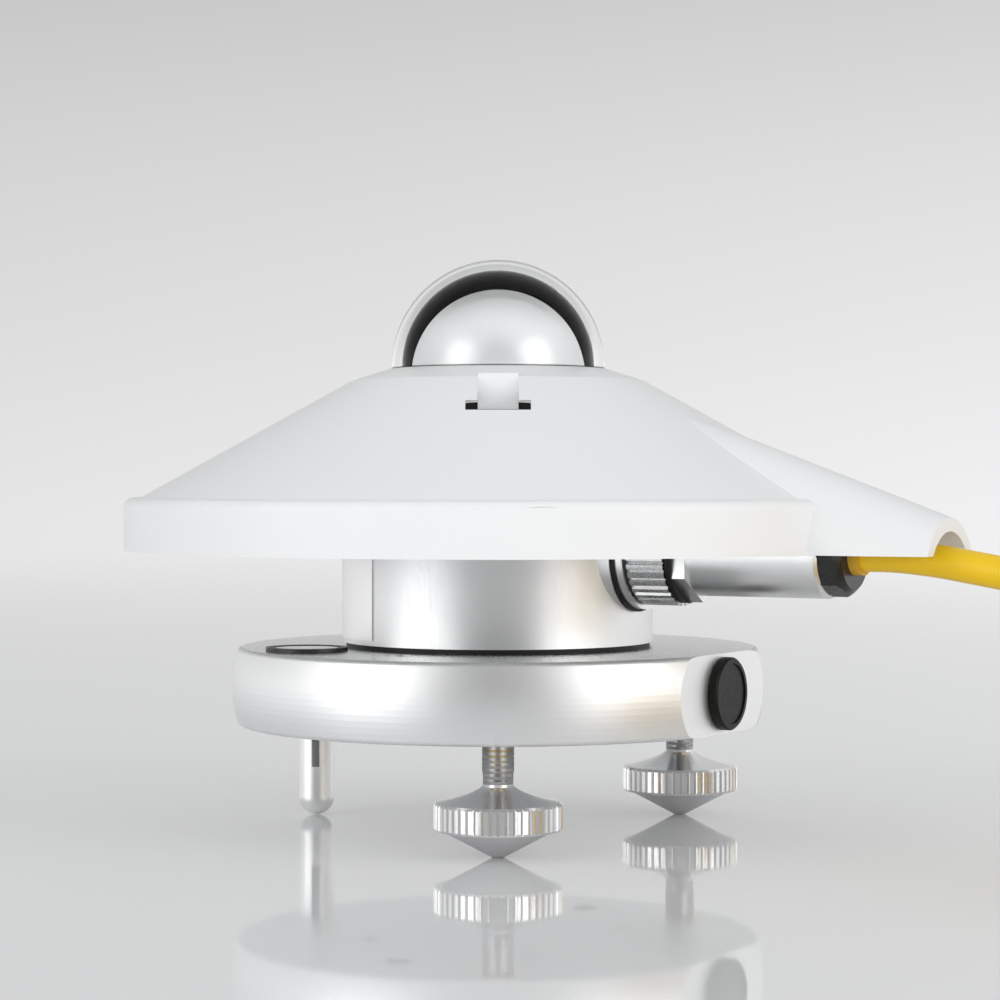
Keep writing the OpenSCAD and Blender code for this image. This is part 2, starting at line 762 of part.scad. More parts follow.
module detector_ring() {
    color([0.93, 0.93, 0.92]) translate([0, 0, sensor_top]) difference() {
        cylinder(h = detector_ring_t, r = sensor_r);
        translate([0, 0, -over]) cylinder(h = detector_ring_t + 2 * over, r = detector_r + detector_ring_gap);
    }
}

module thermopile() {
    color([0.75, 0.74, 0.7]) translate([0, 0, sensor_top])
        cylinder(h = thermopile_h, r = detector_r - detector_ring_gap);
}

module detector_disc() {
    color([0.02, 0.02, 0.02]) translate([0, 0, sensor_top + thermopile_h])
        cylinder(h = detector_t, r = detector_r);
}

module circuit_board() {
    color([0.1, 0.35, 0.2]) difference() {
        translate([0, 0, board_z]) cylinder(h = board_t, r = board_r);
        round_about(screw_azimuths, standoff_circle_r) translate([0, 0, board_z - over])
            cylinder(h = board_t + 2 * over, r = standoff_r / 2);
    }
}

// Standoffs under the deck, each with a screw through the board
module board_standoffs() {
    color([0.78, 0.7, 0.4]) round_about(screw_azimuths, standoff_circle_r) {
        translate([0, 0, board_top]) cylinder(h = board_drop, r = standoff_r);
        translate([0, 0, board_z]) cylinder(h = board_t, r = standoff_r / 2);
        translate([0, 0, board_z - standoff_r / 2]) cylinder(h = standoff_r / 2, r = standoff_r * 0.9);
    }
}

module board_components() {
    chip = [board_r * 0.42, board_r * 0.42, board_t];
    relay = [board_r * 0.5, board_r * 0.25, board_drop * 0.4];
    can_r = board_r * 0.11;
    color([0.12, 0.12, 0.13]) {
        translate([-chip[0] / 2, -chip[1] / 2, board_top]) cube(chip);
        translate([-relay[0] / 2, board_r * 0.5, board_top]) cube(relay);
        for (s = [-1, 1]) translate([s * board_r * 0.3, -board_r * 0.6, board_top])
            cylinder(h = board_drop * 0.5, r = can_r);
        for (s = [-1.5 : 1 : 1.5]) translate([-board_r * 0.75, s * board_r * 0.16, board_top])
            cube([board_r * 0.18, board_r * 0.08, board_t / 2]);
    }
}

module connector_socket() {
    color([0.72, 0.73, 0.74]) difference() {
        union() {
            bar(socket_in_x, flange_x, socket_body_r, socket_z);
            bar(flange_x, thread_x, socket_flange_r, socket_z);
            bar(thread_x, thread_x + socket_thread_l, socket_thread_r, socket_z);
        }
        bar(socket_in_x - over, thread_x + socket_thread_l + over, insert_r + clear, socket_z);
    }
}

module socket_gasket() {
    color([0.04, 0.04, 0.04]) difference() {
        bar(socket_boss_x, flange_x, socket_gasket_r, socket_z);
        bar(socket_boss_x - over, flange_x + over, socket_body_r, socket_z);
    }
}

module socket_nut() {
    color([0.7, 0.71, 0.72]) difference() {
        translate([socket_boss_in_x - socket_nut_t, 0, socket_z]) rotate([0, 90, 0])
            cylinder(h = socket_nut_t, r = socket_nut_r, $fn = 6);
        bar(socket_boss_in_x - socket_nut_t - over, socket_boss_in_x + over, socket_body_r, socket_z);
    }
}

// Places of the contacts round the connector's axis
module at_pins() {
    for (k = [0 : pin_count - 1])
        translate([0, pin_circle_r * cos(360 * k / pin_count), pin_circle_r * sin(360 * k / pin_count)])
            children();
}

module socket_insert() {
    color([0.08, 0.08, 0.08]) difference() {
        bar(socket_in_x + clear, insert_face_x, insert_r + clear, socket_z);
        at_pins() bar(socket_in_x - over, insert_face_x + over, pin_r, socket_z);
    }
}

module socket_pins() {
    color([0.85, 0.7, 0.3]) at_pins()
        bar(socket_in_x - pin_stick_l, insert_face_x + pin_stick_l, pin_r, socket_z);
}

module plug_insert() {
    color([0.1, 0.1, 0.1]) difference() {
        bar(plug_insert_x, plug_insert_x + plug_insert_l, insert_r, socket_z);
        at_pins() bar(plug_insert_x - over, insert_face_x + pin_stick_l + clear, pin_r + clear, socket_z);
    }
}

// Plug body: shoulder and neck inside the nut, a six-sided collar, and the smooth barrel
module plug_barrel() {
    color([0.82, 0.83, 0.84]) difference() {
        union() {
            bar(plug_shoulder_x, plug_shoulder_x + plug_shoulder_t, socket_thread_r - clear, socket_z);
            bar(plug_shoulder_x, collar_x, neck_r, socket_z);
            translate([collar_x, 0, socket_z]) rotate([0, 90, 0]) cylinder(h = collar_l, r = collar_r, $fn = 6);
            translate([barrel_x, 0, socket_z]) rotate([0, 90, 0]) rotate_extrude() polygon([
                [0, 0], [barrel_r, 0], [barrel_r, barrel_l - barrel_round],
                [barrel_r - barrel_round, barrel_l], [0, barrel_l],
            ]);
        }
        bar(plug_shoulder_x - over, plug_insert_x + plug_insert_l, insert_r, socket_z);
        bar(plug_shoulder_x, gland_x - bush_seat_l, insert_r - 1, socket_z);
        bar(plug_shoulder_x, gland_x + over, gland_bore_r, socket_z);
    }
}

module plug_seal() {
    color([0.04, 0.04, 0.04]) difference() {
        bar(plug_seal_x, collar_x, plug_seal_r, socket_z);
        bar(plug_seal_x - over, collar_x + over, neck_r, socket_z);
    }
}

module coupling_nut() {
    color([0.6, 0.61, 0.62]) difference() {
        translate([nut_x, 0, socket_z]) rotate([0, 90, 0])
            linear_extrude(height = nut_l) grooved(nut_r, nut_grooves, nut_groove_depth);
        bar(nut_x - over, nut_end_x - nut_lip_t, nut_bore_r, socket_z);
        bar(nut_x, nut_end_x + over, neck_r + running, socket_z);
    }
}

module gland_nut() {
    color([0.05, 0.05, 0.05]) difference() {
        intersection() {
            translate([gland_x, 0, socket_z]) rotate([0, 90, 0]) cylinder(h = gland_l, r = gland_r, $fn = 8);
            translate([gland_x, 0, socket_z]) rotate([0, 90, 0]) rotate_extrude() polygon([
                [0, 0], [gland_r, 0], [gland_r, gland_l - gland_chamfer],
                [gland_r - gland_chamfer, gland_l], [0, gland_l],
            ]);
        }
        bar(gland_x - over, gland_end_x + over, gland_bore_r, socket_z);
    }
}

module cable_bush() {
    color([0.85, 0.55, 0.1]) {
        bar(gland_x - bush_seat_l, bush_end_x, bush_r, socket_z);
    }
}

// Region under a surface of revolution, from the crown's edge out to the rim
module shield_section(drop_crown, drop_cone, wall, low) {
    rim = shield_r - wall;
    polygon([
        [0, low], [rim, low],
        [rim, wall > 0 ? cone_top(rim) - drop_cone : rim_top - rim_round],
        if (wall == 0) [rim - rim_round, rim_top],
        if (wall == 0) [shoulder_r, rim_top],
        [crown_r, crown_top(crown_r) - max(drop_crown, drop_cone)],
        [0, crown_top(0) - drop_crown],
    ]);
    if (wall == 0) translate([rim - rim_round, rim_top - rim_round]) circle(rim_round);
}

// Arched bar along the spout's ridge, from inside the cone to past the tip
module spout_bar(r, drop) {
    x0 = crown_r;
    translate([x0, 0, ridge_top(x0)]) rotate([0, spout_angle, 0]) translate([0, 0, -drop])
        rotate([90, 0, 90]) linear_extrude(height = 1.5 * spout_reach - x0) {
            translate([0, -r]) circle(r);
            translate([-r, -r - shield_r]) square([2 * r, shield_r]);
        }
}

module sun_shield() {
    color([0.95, 0.95, 0.95]) {
        difference() {
            union() {
                rotate_extrude() shield_section(0, 0, 0, rim_bottom);
                intersection() {
                    spout_bar(spout_r, 0);
                    translate([crown_r, -spout_r, rim_bottom])
                        cube([spout_reach - crown_r, 2 * spout_r, shield_r]);
                }
            }
            rotate_extrude() shield_section(crown_drop, cone_drop, shield_wall, rim_bottom - over);
            intersection() {
                spout_bar(spout_r - shield_wall, shield_wall);
                translate([crown_r, -spout_r, rim_bottom - over])
                    cube([spout_reach, 2 * spout_r, shield_r]);
            }
            cylinder(h = dome_z + dome_r, r = shield_hole_r);
            rotate(0) for (a = tongue_azimuths) rotate(a) {
                translate([crown_r, -tongue_w / 2, notch_floor])
                    cube([notch_reach - crown_r, tongue_w, tongue_top]);
                translate([window_reach, -tongue_w / 2 - window_w, notch_floor - window_h / 4])
                    cube([notch_reach - window_reach, tongue_w + 2 * window_w, window_h]);
            }
        }
        for (a = tongue_azimuths) rotate(a)
            translate([crown_r - tongue_t, -tongue_w / 2, tongue_bottom])
                cube([tongue_t, tongue_w, tongue_top - tongue_bottom]);
    }
}

module cartridge_tube() {
    end_x = cartridge_out_x - cartridge_end_l;
    window_l = cartridge_l - cartridge_end_l - 2 * cartridge_window_inset;
    color([0.85, 0.9, 0.92, 0.5]) difference() {
        bar(cartridge_in_x, cartridge_out_x, cartridge_r, cartridge_z);
        bar(cartridge_in_x + cartridge_wall, end_x, cartridge_in_r, cartridge_z);
        // long windows that let the air reach the gel
        for (a = [45, 135]) translate([cartridge_in_x + cartridge_window_inset, 0, cartridge_z])
            rotate([a, 0, 0]) translate([0, -cartridge_bore_r, -cartridge_window_w / 2])
                cube([window_l, 2 * cartridge_bore_r, cartridge_window_w]);
        // groove of the seal, and the bore that the cap's pin turns in
        translate([cartridge_out_x - cartridge_end_l / 2, 0, cartridge_z]) rotate([0, 90, 0])
            rotate_extrude() translate([cartridge_r - 2 * cartridge_seal_section, -cartridge_seal_section])
                square([cartridge_r, 2 * cartridge_seal_section]);
        bar(cartridge_out_x - cartridge_pin_l - clear, cartridge_out_x + over,
            cartridge_pin_r + running, cartridge_z);
    }
}

module cartridge_seal() {
    color([0.1, 0.1, 0.1]) translate([cartridge_out_x - cartridge_end_l / 2, 0, cartridge_z])
        rotate([0, 90, 0]) rotate_extrude()
            translate([cartridge_r - cartridge_seal_section, 0]) circle(cartridge_seal_section);
}

module silica_gel() {
    color([0.85, 0.45, 0.1]) for (i = [0 : bead_rows - 1]) for (k = [0 : bead_count - 1])
        translate([cartridge_in_x + cartridge_wall + clear + bead_r + i * bead_step, 0, cartridge_z])
            rotate([360 * (k + 0.25) / bead_count, 0, 0]) translate([0, bead_circle_r, 0]) sphere(bead_r);
}

module cartridge_cap() {
    color([0.07, 0.07, 0.07]) translate([flat_x, 0, cartridge_z]) rotate([0, 90, 0]) difference() {
        rotate_extrude() polygon([
            [0, -cartridge_spigot_l - cartridge_pin_l], [cartridge_pin_r, -cartridge_spigot_l - cartridge_pin_l],
            [cartridge_pin_r, -cartridge_spigot_l], [cartridge_r, -cartridge_spigot_l],
            [cartridge_r, running], [cap_r, running], [cap_r, cap_t - cap_edge],
            [cap_r - cap_edge, cap_t], [0, cap_t],
        ]);
        translate([0, 0, cap_t - cap_dish]) cylinder(h = cap_dish + over, r = cap_r - 3 * cap_edge);
    }
}

module cable() {
    color([0.95, 0.8, 0.06]) tube(CABLE_ROUTE, cable_d / 2, tube_sides);
}

// Coil's centre line: straight for one diameter at each end
function coil_route() =
    let (n = coil_turns * coil_layers * coil_rings, first = coil_point(0), last = coil_point(n / coil_rings))
    concat(
        [first - [cable_d, 0, 0]],
        [for (i = [0 : n]) coil_point(i / coil_rings)],
        [last + [cable_d, 0, 0]]
    );
// Least clear distance between turns, on the points of the centre line
function coil_gap(p) = min([
    for (i = [0 : len(p) - coil_rings]) for (j = [i + coil_rings - 6 : 1 : len(p) - 1]) norm(p[i] - p[j])
]) - cable_d;

module cable_coil() {
    route = coil_route();
    echo(least_gap_in_coil = coil_gap(route));
    color([0.95, 0.8, 0.06]) tube(route, cable_d / 2, coil_sides);
}

module cable_tail() {
    color([0.95, 0.8, 0.06]) tube(TAIL_ROUTE, cable_d / 2, tube_sides);
}

module cable_sleeve() {
    color([0.08, 0.08, 0.08]) translate([sleeve_x, tail_y, coil_low_z]) rotate([0, 90, 0])
        cylinder(h = sleeve_l, r = min(sleeve_r, coil_low_z - ground_z));
}

// Centre line of one lead, from the sleeve's face out to its own end
function lead_route(s) =
    let (a = [sleeve_x + sleeve_l, tail_y - lead_circle_r * cos(s[0]), coil_low_z + lead_circle_r * sin(s[0])],
        b = [sleeve_x + sleeve_l + lead_l, tail_y - s[1], ground_z + ferrule_r + clear])
    [for (t = [0 : 0.125 : 1])
        let (w = t * t * (3 - 2 * t)) [a[0] + (b[0] - a[0]) * t, a[1] + (b[1] - a[1]) * w, a[2] + (b[2] - a[2]) * w]];

module cable_leads() {
    color([0.7, 0.15, 0.1]) for (s = LEAD_SPREAD) tube(lead_route(s), lead_d / 2, coil_sides);
}

module lead_ferrules() {
    color([0.8, 0.8, 0.82]) for (s = LEAD_SPREAD)
        translate([sleeve_x + sleeve_l + lead_l, tail_y - s[1], ground_z + ferrule_r + clear])
            rotate([0, 90, 0]) cylinder(h = ferrule_l, r = ferrule_r);
}

module front_foot_pad() { foot_pad(front_foot_azimuth); }
module front_foot_knob() { foot_knob(front_foot_azimuth); }
module front_foot_stud() { foot_stud(front_foot_azimuth); }
module right_foot_pad() { foot_pad(right_foot_azimuth); }
module right_foot_knob() { foot_knob(right_foot_azimuth); }
module right_foot_stud() { foot_stud(right_foot_azimuth); }

base_plate();
base_gasket();
housing();
housing_screws();
label_plate();
fixed_foot();
foot_bushes();
level_frame();
level_window();
level_liquid();
level_bubble();
dome_ring();
dome_seal();
dome_ring_screws();
outer_dome();
inner_dome_ring();
inner_dome();
sensor_body();
detector_ring();
thermopile();
detector_disc();
circuit_board();
board_components();
board_standoffs();
connector_socket();
socket_gasket();
socket_nut();
socket_insert();
socket_pins();
sun_shield();
cartridge_tube();
silica_gel();
cartridge_seal();
cartridge_cap();
plug_barrel();
plug_insert();
plug_seal();
coupling_nut();
gland_nut();
cable_bush();
cable();
cable_coil();
cable_tail();
cable_sleeve();
cable_leads();
lead_ferrules();
front_foot_pad();
front_foot_knob();
front_foot_stud();
right_foot_pad();
right_foot_knob();
right_foot_stud();
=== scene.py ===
import math
import bpy
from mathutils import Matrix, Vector


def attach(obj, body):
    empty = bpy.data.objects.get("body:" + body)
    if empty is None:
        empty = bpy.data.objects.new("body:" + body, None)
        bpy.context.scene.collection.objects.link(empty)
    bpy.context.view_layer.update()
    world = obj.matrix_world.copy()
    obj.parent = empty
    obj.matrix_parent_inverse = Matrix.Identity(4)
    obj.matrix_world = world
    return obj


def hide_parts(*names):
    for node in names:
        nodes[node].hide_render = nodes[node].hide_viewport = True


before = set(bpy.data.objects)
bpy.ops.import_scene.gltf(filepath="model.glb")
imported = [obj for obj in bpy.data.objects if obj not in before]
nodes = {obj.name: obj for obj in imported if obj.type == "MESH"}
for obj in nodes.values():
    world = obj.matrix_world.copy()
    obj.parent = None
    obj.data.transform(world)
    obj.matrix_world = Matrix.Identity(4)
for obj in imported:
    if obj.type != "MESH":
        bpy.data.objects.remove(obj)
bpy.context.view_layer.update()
scene = bpy.context.scene
scene.view_settings.view_transform = "Standard"

# --- places and directions shared by several parts of the script, in metres ---

ground_z = -0.0212                   # what the feet stand on
away = Vector((-0.5, 0.866, 0))      # the camera's line of sight
right = Vector((0.866, 0.5, 0))      # to the right in the picture


# --- shader nodes ----------------------------------------------------------

def fill(t, n, inputs):
    """Give a node's inputs their values, or link the sockets given for them."""
    for key, value in inputs.items():
        if isinstance(value, bpy.types.NodeSocket):
            t.links.new(value, n.inputs[key])
        else:
            n.inputs[key].default_value = value


def add(t, kind, inputs=None, **settings):
    """Add a node with its settings and inputs to a tree."""
    n = t.nodes.new("ShaderNode" + kind)
    for key, value in settings.items():
        setattr(n, key, value)
    fill(t, n, inputs or {})
    return n


def point(t, kind="Object"):
    return add(t, "TexCoord").outputs[kind]


def coords(t, scale=(1, 1, 1)):
    return add(t, "Mapping", {"Vector": point(t), "Scale": scale}).outputs["Vector"]


def axis(t, vector, name):
    return add(t, "SeparateXYZ", {0: vector}).outputs[name]


def along(t, vector, direction):
    """How far a point lies along a direction."""
    n = add(t, "VectorMath", {0: vector, 1: direction}, operation="DOT_PRODUCT")
    return n.outputs["Value"]


def maths(t, operation, *values):
    return add(t, "Math", dict(enumerate(values)), operation=operation).outputs[0]


def remap(t, value, source, target, interpolation="LINEAR"):
    """Map a value from its source range to a target range."""
    n = add(t, "MapRange", {
        "Value": value, "From Min": source[0], "From Max": source[1],
        "To Min": target[0], "To Max": target[1],
    }, interpolation_type=interpolation)
    return n.outputs["Result"]


def noise(t, scale, stretch=(1, 1, 1)):
    inputs = {"Vector": coords(t, stretch), "Scale": scale, "Detail": 2.0}
    return add(t, "TexNoise", inputs).outputs["Fac"]


def bump(t, height, distance, strength):
    inputs = {"Height": height, "Distance": distance, "Strength": strength}
    return add(t, "Bump", inputs).outputs["Normal"]


def ramp(t, value, stops, interpolation):
    """Colour ramp through stops, each one a position and a colour."""
    n = add(t, "ValToRGB", {"Fac": value})
    n.color_ramp.interpolation = interpolation
    elements = n.color_ramp.elements
    for element, (position, color) in ((elements[0], stops[0]), (elements[1], stops[-1])):
        element.position = position
        element.color = (*color, 1)
    for position, color in stops[1:-1]:
        elements.new(position).color = (*color, 1)
    return n.outputs["Color"]


def mix_colors(t, factor, first, second, blend_type="MIX"):
    inputs = {"Factor": factor, "A": first, "B": second}
    return add(t, "Mix", inputs, data_type="RGBA", blend_type=blend_type).outputs["Result"]


def mix_shaders(t, factor, first, second):
    """Mix two shader nodes; the factor is the second one's share."""
    return add(t, "MixShader", {"Fac": factor, 1: first.outputs[0], 2: second.outputs[0]})


def show(t, shader):
    t.links.new(shader.outputs[0], t.nodes["Material Output"].inputs["Surface"])


# --- kinds of material -----------------------------------------------------

def new_material(name):
    """A material, its node tree and its principled shader."""
    m = bpy.data.materials.new(name)
    m.use_nodes = True
    return m, m.node_tree, m.node_tree.nodes["Principled BSDF"]


def spread(t, fac, low_value, high_value):
    """Most of a noise lies between 0.3 and 0.7; that span is taken."""
    return remap(t, fac, (0.3, 0.7), (low_value, high_value))


def metal(name, color, rough, rough_spread=0.05, grain=1500, stretch=(1, 1, 1)):
    m, t, b = new_material(name)
    fac = noise(t, grain, stretch)
    fill(t, b, {
        "Base Color": (*color, 1),
        "Metallic": 1,
        "Roughness": spread(t, fac, rough - rough_spread, rough + rough_spread),
        "Normal": bump(t, fac, 0.00001, 0.35),
    })
    return m


def plain(name, color, rough, spec=0.5, grain=1200, relief=0.00002, coat=0.0):
    m, t, b = new_material(name)
    fac = noise(t, grain)
    fill(t, b, {
        "Base Color": (*color, 1),
        "Specular IOR Level": spec,
        "Coat Weight": coat,
        "Roughness": spread(t, fac, max(rough - 0.05, 0.02), rough + 0.05),
    })
    if relief:
        fill(t, b, {"Normal": bump(t, fac, relief, 0.3)})
    return m


def glass(name, color, ior, rough=0.0, transmission=1.0):
    m, t, b = new_material(name)
    fill(t, b, {
        "Base Color": (*color, 1),
        "Roughness": rough,
        "Transmission Weight": transmission,
        "IOR": ior,
    })
    return m


def threaded(name, color, rough, pitch):
    """Metal with a fine thread round a Z axis."""
    m, t, b = new_material(name)
    # at a scale of 1 the wave texture has 20 / (2 pi) bands a metre
    wave = add(
        t, "TexWave", {"Vector": coords(t), "Scale": 2 * math.pi / pitch / 20, "Distortion": 0},
        wave_type="BANDS", bands_direction="Z", wave_profile="TRI",
    )
    fill(t, b, {
        "Base Color": (*color, 1),
        "Metallic": 1,
        "Roughness": rough,
        "Normal": bump(t, wave.outputs["Fac"], 0.0004, 1.0),
    })
    return m


# --- the part's materials --------------------------------------------------

along_z = (1, 1, 0.15)               # grain drawn out along Z
along_x = (0.2, 1, 1)                # grain drawn out along X
satin = metal("satin_aluminium", (0.90, 0.905, 0.91), 0.44, 0.03, 2600, along_z)
turned = metal("turned_aluminium", (0.88, 0.885, 0.89), 0.27, 0.03, 2600, along_z)
turned_top = metal("turned_top", (0.90, 0.905, 0.91), 0.27, 0.02, 2600)
bright = metal("bright_steel", (0.86, 0.86, 0.865), 0.20, 0.03, 1800, (1, 1, 0.3))
dull = metal("dull_steel", (0.72, 0.72, 0.73), 0.36, 0.05, 1800)
thread = threaded("stud_thread", (0.50, 0.50, 0.51), 0.32, 0.001)
nickel = metal("satin_nickel", (0.82, 0.825, 0.83), 0.32, 0.03, 2400, along_x)
nut_metal = metal("knurled_nickel", (0.62, 0.625, 0.63), 0.26, 0.04, 2400)
brass = metal("turned_brass", (0.80, 0.62, 0.30), 0.25, 0.04, 2000)
gold = metal("gold_contact", (0.90, 0.70, 0.28), 0.16, 0.02, 2000)
tin = metal("tinned", (0.80, 0.80, 0.82), 0.28, 0.04, 2000)
label_bare = metal("bare_label", (0.96, 0.96, 0.96), 0.36, 0.02, 1500)
ring_white = plain("white_ring", (0.85, 0.85, 0.84), 0.5)
shield_white = plain("shield_white", (0.86, 0.865, 0.87), 0.36, 0.45, 900, 0.00001)
black_rubber = plain("black_rubber", (0.012, 0.012, 0.012), 0.5, 0.3)
gland_black = plain("gland_black", (0.010, 0.010, 0.010), 0.3)
cap_black = plain("cap_black", (0.006, 0.006, 0.0055), 0.42, 0.22)
insert_black = plain("insert_black", (0.02, 0.02, 0.02), 0.45)
ring_black = plain("black_anodised", (0.02, 0.02, 0.021), 0.35)
level_black = plain("level_black", (0.02, 0.02, 0.02), 0.4)
detector_black = plain("detector_black", (0.004, 0.004, 0.004), 0.85, 0.1)
ceramic = plain("ceramic", (0.70, 0.68, 0.62), 0.5)
board_green = plain("board_green", (0.02, 0.16, 0.07), 0.4)
parts_black = plain("parts_black", (0.03, 0.03, 0.033), 0.4)
amber = plain("amber_bush", (0.72, 0.42, 0.03), 0.42, 0.4)
yellow = plain("cable_yellow", (0.90, 0.58, 0.008), 0.38, 0.4, 700, 0.00003)
gel = plain("gel_orange", (0.85, 0.33, 0.04), 0.25, 0.5, 800, 0, 0.3)
tube_clear = glass("cartridge_clear", (0.93, 0.95, 0.96), 1.46, 0.25)
level_clear = glass("level_clear", (0.97, 0.99, 0.98), 1.49)
liquid = glass("level_liquid", (0.62, 0.74, 0.10), 1.33, 0.05, 0.35)
air = plain("level_air", (0.86, 0.92, 0.60), 0.15, 0.6, 900, 0)

# the outer dome is clear, with a painted shadow along its lowest edge standing for the dark gap
# between dome and shield
dome_tint, dome_ior = (0.97, 0.98, 0.98), 1.1
rim_shadow_z = (0.0713, 0.0716)        # heights between which the painted shadow fades out
outer_glass = glass("outer_glass", dome_tint, dome_ior)
t = outer_glass.node_tree
clear = t.nodes["Principled BSDF"]
rim_shadow = add(t, "BsdfDiffuse", {"Color": (0.02, 0.02, 0.02, 1)})
rim_shadow_share = remap(t, axis(t, point(t), "Z"), rim_shadow_z, (1, 0))
show(t, mix_shaders(t, rim_shadow_share, clear, rim_shadow))

# the outer dome's inside is clear from without, and painted black where one looks across the gap
# at it, as painted shade standing for the dark gap between the domes
dome_inside = glass("outer_glass_inside", dome_tint, dome_ior)
t = dome_inside.node_tree
clear = t.nodes["Principled BSDF"]
gap_shade = add(t, "BsdfDiffuse", {"Color": (0.004, 0.004, 0.004, 1)})
facing = maths(t, "SUBTRACT", 1, add(t, "NewGeometry").outputs["Backfacing"])
through = add(t, "LightPath").outputs["Is Transmission Ray"]
show(t, mix_shaders(t, maths(t, "MULTIPLY", facing, through), clear, gap_shade))

# the inner dome is glass with a silvery sheen, which thins out towards its top
sheen_z = (0.078, 0.0865)            # heights between which it thins
inner_glass, t, b = new_material("inner_glass")
fill(t, b, {"Base Color": (0.90, 0.905, 0.91, 1), "Metallic": 0.45, "Roughness": 0.36})
sheen = remap(t, axis(t, point(t), "Z"), sheen_z, (0.94, 0.45), "SMOOTHSTEP")
show(t, mix_shaders(t, sheen, add(t, "BsdfTransparent"), b))

# insulation of the bare leads: one colour a lead, by where each one lies
leads_y = (-0.0698, -0.0458)         # their span from side to side
lead_shades = [
    (0.5, 0.02, 0.02), (0.03, 0.08, 0.45), (0.02, 0.3, 0.06),
    (0.85, 0.6, 0.02), (0.75, 0.75, 0.73), (0.2, 0.08, 0.03),
]
lead_mix, t, b = new_material("lead_colours")
lead_stops = [(i / len(lead_shades), shade) for i, shade in enumerate(lead_shades)]
lead_place = remap(t, axis(t, point(t), "Y"), leads_y, (0, 1))
fill(t, b, {"Roughness": 0.35, "Base Color": ramp(t, lead_place, lead_stops, "CONSTANT")})

# the fixed foot is pale metal, with a slot in its front drawn only as painted shade, darker
# where the slot's recess would be
pale, slot_shade = (0.96, 0.96, 0.96), (0.30, 0.30, 0.31)
slot_left = 0.0381                   # the slot's middle, left of the axis in the picture
slot_half = 0.0008                   # half its width
slot_back = -0.0200                  # it's in the half of the post nearer the camera than this
slot_low = -0.0110                   # height of its lower end
post_metal = metal("pale_post", pale, 0.42, 0.02, 1800)
t = post_metal.node_tree
where = coords(t)
aside = maths(t, "ABSOLUTE", maths(t, "ADD", along(t, where, right), slot_left))
slot_shade_mask = maths(t, "MULTIPLY", maths(t, "LESS_THAN", aside, slot_half),
             maths(t, "GREATER_THAN", along(t, where, -away), slot_back))
slot_shade_mask = maths(t, "MULTIPLY", slot_shade_mask, maths(t, "GREATER_THAN", axis(t, where, "Z"), slot_low))
post_color_with_shade = mix_colors(t, slot_shade_mask, (*pale, 1), (*slot_shade, 1))
fill(t, t.nodes["Principled BSDF"], {"Base Color": post_color_with_shade})

# --- dressing the pieces ---------------------------------------------------

sharp_angle = math.radians(32)       # edges at least this sharp stay edges
looks = {
    "base_plate": satin, "base_gasket": black_rubber, "housing": satin, "housing_screws": dull,
    "label_plate": label_bare, "fixed_foot": post_metal, "foot_bushes": brass,
    "level_frame": level_black, "level_window": level_clear, "level_liquid": liquid,
    "level_bubble": air, "dome_ring": ring_black, "dome_seal": black_rubber,
    "dome_ring_screws": dull, "outer_dome": outer_glass, "inner_dome_ring": turned,
    "inner_dome": inner_glass, "sensor_body": turned, "detector_ring": ring_white,
    "thermopile": ceramic, "detector_disc": detector_black, "circuit_board": board_green,
    "board_components": parts_black, "board_standoffs": brass, "connector_socket": nickel,
    "socket_gasket": black_rubber, "socket_nut": nickel, "socket_insert": insert_black,
    "socket_pins": gold, "sun_shield": shield_white, "cartridge_tube": tube_clear,
    "silica_gel": gel, "cartridge_seal": black_rubber, "cartridge_cap": cap_black,
    "plug_barrel": nickel, "plug_insert": insert_black, "plug_seal": black_rubber,
    "coupling_nut": nut_metal, "gland_nut": gland_black, "cable_bush": amber,
    "cable": yellow, "cable_coil": yellow, "cable_tail": yellow, "cable_sleeve": black_rubber,
    "cable_leads": lead_mix, "lead_ferrules": tin,
    "front_foot_pad": dull, "front_foot_knob": bright, "front_foot_stud": thread,
    "right_foot_pad": dull, "right_foot_knob": bright, "right_foot_stud": thread,
}
for name, m in looks.items():
    mesh = nodes[name].data
    mesh.materials.clear()
    mesh.materials.append(m)
    mesh.polygons.foreach_set("use_smooth", [True] * len(mesh.polygons))
    mesh.set_sharp_from_angle(angle=sharp_angle)

# the outer dome's faces that lie nearer its centre are its inside
dome_z, inside_reach = 0.0718, 0.0204
dome = nodes["outer_dome"].data
dome.materials.append(dome_inside)
for poly in dome.polygons:
    x, y, z = poly.center
    if math.hypot(x, y, max(z - dome_z, 0)) < inside_reach:
        poly.material_index = 1

# the base's upper face is turned smoother than its side
base = nodes["base_plate"].data
base.materials.append(turned_top)
for poly in base.polygons:
    if poly.normal.z > 0.98:
        poly.material_index = 1

edge_widths = {
    "housing": 0.0002, "fixed_foot": 0.00025, "dome_ring": 0.00025, "sun_shield": 0.0003,
    "cartridge_cap": 0.0002, "plug_barrel": 0.0003, "gland_nut": 0.0002,
    "coupling_nut": 0.0001, "cable_bush": 0.0004, "level_frame": 0.0002,
}
for name, width in edge_widths.items():
    mod = nodes[name].modifiers.new("edge", "BEVEL")
    mod.width = width
    mod.segments = 2
    mod.limit_method = "ANGLE"
    mod.angle_limit = sharp_angle
    mod.harden_normals = True

# --- the cable: one curve over its free stretch, its coil and its tail ------

cable_r = 0.0031
